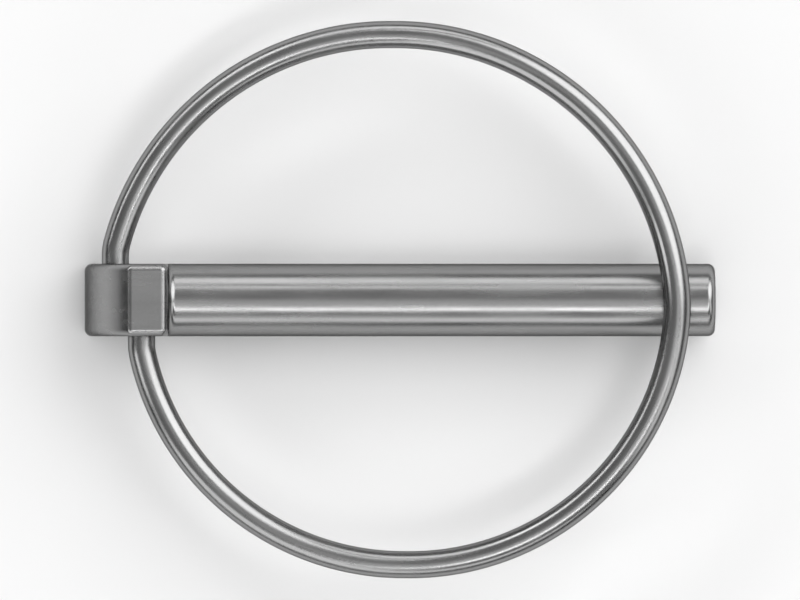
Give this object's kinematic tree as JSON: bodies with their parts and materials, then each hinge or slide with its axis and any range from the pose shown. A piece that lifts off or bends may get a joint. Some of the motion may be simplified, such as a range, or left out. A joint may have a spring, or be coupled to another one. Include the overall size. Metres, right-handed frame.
{
  "type": "linch pin",
  "caption": "Steel linch pin: round shank with a solid head, and a spring wire ring that swings over and lies closed on the shank near its tip.",
  "frame": {"origin": "on the shank's axis where its straight wall begins, 0.6 mm in front of the head's front face", "axes": "+X along the shank towards the tip, +Z towards the side that the ring closes on, +Y towards the ring's back leg"},
  "size_m": [0.0522, 0.0461, 0.0105],
  "materials": {
    "pin_steel": "smooth satin stainless steel",
    "ring_wire": "bright drawn stainless spring wire"
  },
  "bodies": {
    "pin": {"pin": "pin_steel"},
    "ring": {"ring": "ring_wire"}
  },
  "joints": [
    {"name": "ring_swing", "type": "hinge", "parent": "pin", "child": "ring", "pos_m": [-0.00387, 0, 0.003], "axis": [0, -1, 0], "range_deg": [0, 180], "deforming": ["ring"]}
  ]
}
